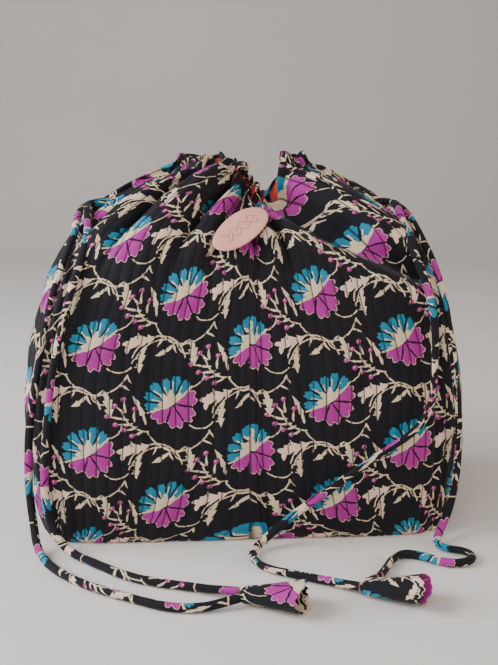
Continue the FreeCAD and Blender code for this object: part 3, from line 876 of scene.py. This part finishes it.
def bag_cloth():
    points, s, v, around = bag_surface()
    normals = grid_normals(points, True)
    # the rim turns over to the inside
    inward = -normals[-1]
    top = points[-1]
    extra = []
    extra_v = []
    for k in range(1, 5):
        a = math.pi * k / 4
        turn = LINING_INSET / 2
        extra.append(top + inward * turn * (1 - math.cos(a)) + np.array([0, 0, 1]) * turn * math.sin(a))
        extra_v.append(v[-1] + turn * a)
    tail = extra[-1] - np.array([0, 0, 4 * MM])
    outer_points = np.concatenate([points, np.array(extra), tail[None]])
    outer_v = np.concatenate([v, np.array(extra_v), (extra_v[-1] + 4 * MM)[None]])
    outer = grid_mesh("outer_cloth", outer_points, cloth_uv(s, outer_v, around), True, QUILTED)
    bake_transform(outer)
    sides = ("front", "back", "left", "right")
    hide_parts(*[f"{layer}_{x}" for layer in ("outer", "wadding") for x in sides],
                *[f"{x}_gather" for x in sides], *[f"{x}_casing" for x in sides],
                "left_ruffle", "right_ruffle", "drawstrings_in_front_casing",
                "drawstrings_in_back_casing", "left_cord_ends", "right_cord_ends")

    inner = bag_surface(lining=True)[0]
    inner[..., 2] = np.maximum(inner[..., 2], 4 * MM)
    lining_uv = cloth_uv(s[::2], v[:, ::2], around)
    lining = grid_mesh("lining_cloth", inner[:, ::2], lining_uv, True, LINING, flip=True)
    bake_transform(lining)
    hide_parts(*[f"lining_{x}" for x in sides], *[f"{x}_gather_lining" for x in sides])
    return points


def base_cloth(name, ring, z, material, nodes):
    """Flat panel inside a ring of points."""
    rows = []
    for share in np.linspace(0.02, 1, 60):
        x, y = ring[:, 0] * share, ring[:, 1] * share
        puff = 0 * x
        if material is QUILTED:
            puff = 0.5 * MM * (np.abs(np.sin(math.pi * x / QUILT_STEP)) ** 0.6 - 1)
        rows.append(np.stack([x, y, z - puff], 1))
    points = np.array(rows)
    closed = np.concatenate([points, points[:, :1]], 1)
    obj = grid_mesh(name, points, closed[..., 0:2].copy(), True, material)
    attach(obj, "root")
    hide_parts(*nodes)


# ---------------------------------------------------------------- cords, tips and label
def nurbs_points(name, route):
    """Points along the route's own smooth curve."""
    curve = bpy.data.curves.new(name + "_route", "CURVE")
    curve.dimensions = "3D"
    spline = curve.splines.new("NURBS")
    spline.points.add(len(route) - 1)
    for point, place in zip(spline.points, route):
        point.co = (*place, 1)
    spline.order_u = 3
    spline.use_endpoint_u = True
    spline.resolution_u = 12
    holder = bpy.data.objects.new(name + "_route", curve)
    mesh = bpy.data.meshes.new_from_object(holder)
    points = np.array([v.co[:] for v in mesh.vertices])
    bpy.data.objects.remove(holder)
    bpy.data.meshes.remove(mesh)
    return points


def even_points(points, step):
    run = np.concatenate([[0], np.cumsum(np.linalg.norm(np.diff(points, axis=0), axis=1))])
    wanted = np.linspace(0, run[-1], int(run[-1] / step) + 1)
    return np.stack([np.interp(wanted, run, points[:, k]) for k in range(3)], 1), wanted


def carried_frames(line):
    """Side and up vectors carried along a line without twisting."""
    tangent = np.gradient(line, axis=0)
    tangent /= np.linalg.norm(tangent, axis=1, keepdims=True)
    side = np.cross(tangent[0], (0, 0, 1.0))
    sides = []
    for d in tangent:
        side = side - d * side.dot(d)
        side = side / np.linalg.norm(side)
        sides.append(side)
    sides = np.array(sides)
    return sides, np.cross(sides, tangent)


def strand(name, route, body, seed):
    """Turned cotton tube, slightly flat, with a seam along one side and small puckers."""
    line = nurbs_points(name, route)
    path, along = even_points(line, 1.0 * MM)
    side, up = carried_frames(path)
    count = 20
    angle = np.linspace(0, 2 * math.pi, count, endpoint=False)
    twist = 0.8 * np.sin(along * 22 + seed)[:, None]
    wide, thin = 0.475 * CORD_D, 0.41 * CORD_D
    places = np.stack([np.repeat(along, count), np.tile(angle, len(along)) * 2 * MM,
                       np.full(len(along) * count, seed)], 1)
    pucker = value_noise(places, 4 * MM, seed).reshape(len(along), count)
    seam = np.exp(-((angle - 1.2) / 0.22) ** 2)
    grow = 1 + 0.045 * pucker - 0.10 * seam[None, :]
    x = wide * np.cos(angle)[None, :] * grow
    y = thin * np.sin(angle)[None, :] * grow
    c, s = np.cos(twist), np.sin(twist)
    across = side[:, None, :] * (x * c - y * s)[..., None] + up[:, None, :] * (x * s + y * c)[..., None]
    points = path[:, None, :] + across
    points[..., 2] = np.maximum(points[..., 2], 0.0003)
    around = math.pi * CORD_D
    u = np.linspace(0, around, count + 1)
    uv = np.stack([np.tile(u, (len(along), 1)), np.repeat(along[:, None], count + 1, 1)], 2)
    uv[..., 0] += seed * 0.041
    uv[..., 1] += seed * 0.067
    obj = grid_mesh(name, points, uv, True, CORD_COTTON, flip=True)
    cap_ends(obj.data, count, len(along))
    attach(obj, body)
    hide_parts(name)


def cap_ends(mesh, count, rows):
    """Close both open ends of a tube of rows x count points."""
    loops = [list(range(count)), [rows * count - 1 - k for k in range(count)]]
    bm = bmesh.new()
    bm.from_mesh(mesh)
    bm.verts.ensure_lookup_table()
    for loop in loops:
        bm.faces.new([bm.verts[k] for k in loop])
    bmesh.ops.recalc_face_normals(bm, faces=bm.faces)
    bm.to_mesh(mesh)
    bm.free()


def tip(name, pivot, wide, half, body, seed, inside, shift):
    """Sleeve of folded cotton: snug round the cords, flaring to a raw, wavy edge, its inside showing."""
    ahead = wide - pivot
    length = ahead.length + 3 * MM
    ahead = ahead.normalized()
    across = ahead.cross(Vector((0, 0, 1))).normalized()
    up = across.cross(ahead)
    count = 72
    angle = np.linspace(-math.pi, math.pi, count, endpoint=False)
    circle = np.stack([np.cos(angle) * 0.01, np.sin(angle) * 0.01, 0 * angle], 1)
    ragged = value_noise(circle, 2.2 * MM, seed)
    fold = value_noise(circle, 9 * MM, seed + 1)
    start = -8.0 * MM
    snug = start + 6 * MM       # where the flare begins
    collar = np.array([8.0 * MM, 5.2 * MM])
    mouth = np.array(half)
    wall = 0.8 * MM
    steps = 26
    profile = [(start, 0.30), (start + 0.8 * MM, 0.72), (start + 3 * MM, 0.94), (snug, 1.0)]
    outside = [(x, collar * share, 0.0) for x, share in profile]
    flare = []
    for k in range(1, steps + 1):
        t = k / steps
        flare.append((snug + (length - snug) * t, collar + (mouth - collar) * t ** 1.15, t))
    lined = [(x, size - wall, t) for x, size, t in reversed(flare[3:])]
    rows = []
    for x, size, t in outside + flare + lined:
        wave = 1 + 0.13 * t * fold
        px = size[0] * np.sign(np.cos(angle)) * np.abs(np.cos(angle)) ** 0.9 * wave
        py = size[1] * np.sin(angle) * wave
        reach = x + 1.7 * MM * t ** 6 * ragged + 2.0 * MM * t ** 3 * np.cos(angle * 2 + seed)
        rows.append(np.array(pivot) + np.outer(reach, ahead) + np.outer(px, across) + np.outer(py, up))
    points = np.array(rows)
    points[..., 2] = np.maximum(points[..., 2], 0.4 * MM)
    middle = points.mean(1)
    lengthwise = np.concatenate([[0], np.cumsum(np.linalg.norm(np.diff(middle, axis=0), axis=1))])
    uv = np.stack([np.tile(np.linspace(0, 0.09, count + 1), (len(points), 1)),
                   np.repeat(lengthwise[:, None], count + 1, 1)], 2)
    uv = uv + np.array(shift) * MM
    obj = grid_mesh(name + "_cloth", points, uv, True, TIP_COTTON, flip=True)
    obj.data.materials.append(inside)
    first_inside = (len(outside) + steps - 1) * count
    for poly in obj.data.polygons:
        if poly.index >= first_inside:
            poly.material_index = 1
    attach(obj, body)
    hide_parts(name)
    return obj


def label(points):
    """Oval leather label lying on the front gather."""
    centre = np.array([-0.005, 0.0, 0.2335])
    front = points[..., 1] < -0.03
    gap = np.where(front, np.hypot(points[..., 0] - centre[0], points[..., 2] - centre[2]), 9)
    normals = grid_normals(points, True)
    close = gap < 0.02
    normal = normals[close].mean(0)
    normal[0] *= 0.3
    normal /= np.linalg.norm(normal)
    away = (points[close] @ normal).max()
    spot = points[np.unravel_index(gap.argmin(), gap.shape)]
    spot = spot + normal * (away - spot @ normal) * 0.75
    up = np.array([0, 0, 1.0])
    up = up - normal * up.dot(normal)
    up /= np.linalg.norm(up)
    right = np.cross(up, normal)
    tilt = math.radians(41)
    long_axis = right * math.cos(tilt) + up * math.sin(tilt)
    short_axis = np.cross(normal, long_axis)
    half_l, half_w, thick = 25 * MM, 12.5 * MM, 1.8 * MM
    count = 96
    angle = np.linspace(0, 2 * math.pi, count, endpoint=False)
    rows = []
    uvs = []
    rings = [(0.01, 1), (0.25, 1), (0.5, 1), (0.75, 1), (0.9, 1), (0.965, 0.97), (0.99, 0.8),
             (1.0, 0.5), (0.99, 0.2), (0.96, 0.0)]
    for r, rise in rings:
        lx = half_l * r * np.cos(angle)
        ly = half_w * r * np.sin(angle)
        bend = -0.0011 * (lx / half_l) ** 2 + 0.0007 * np.sin(lx * 120)
        rows.append(spot[None] + long_axis[None] * lx[:, None] + short_axis[None] * ly[:, None]
                    + normal[None] * (thick * rise + bend)[:, None])
        uvs.append(np.stack([lx, ly], 1))
    uv = np.array(uvs)
    uv = np.concatenate([uv, uv[:, :1]], 1)
    obj = grid_mesh("label_leather", np.array(rows), uv, True, LEATHER)
    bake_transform(obj)
    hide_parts("label")


# ---------------------------------------------------------------- build
QUILTED = cotton_material("quilted_cotton", (0, 0), True)
CORD_COTTON = cotton_material("cord_cotton", (0, 0), False, turn=0.7)
TIP_COTTON = cotton_material("tip_cotton", (11, -74), False, turn=1.2)
TIP_INSIDE = cotton_material("tip_inside", (-20, -11), False, zoom=0.3)
LINING = lining_material()
LEATHER = leather_material()

camera()
lights()
stage_sweep()
left_tip = tip("left_tip", LEFT_TIP_PIVOT, LEFT_TIP_WIDE, (16.0 * MM, 9.5 * MM),
               "left_cord_tip", 3, TIP_COTTON, (0, 0))
right_tip = tip("right_tip", RIGHT_TIP_PIVOT, RIGHT_TIP_WIDE, (14.0 * MM, 9.0 * MM),
                "right_cord_tip", 5, TIP_INSIDE, (21, -36))
strand("left_front_strand", LEFT_FRONT_ROUTE, "left_drawstring", 1)
strand("left_rear_strand", LEFT_REAR_ROUTE, "left_drawstring", 2)
strand("right_front_strand", RIGHT_FRONT_ROUTE, "right_drawstring", 3)
strand("right_side_strand", RIGHT_SIDE_ROUTE, "right_drawstring", 4)
surface = bag_cloth()
foot = surface[0].copy()
base_cloth("base_underside", foot, 0.2 * MM, QUILTED, ["outer_base", "wadding_base"])
base_cloth("base_lining", foot * np.array([0.97, 0.94, 1]), 4.5 * MM, LINING, ["lining_base"])
label(surface)
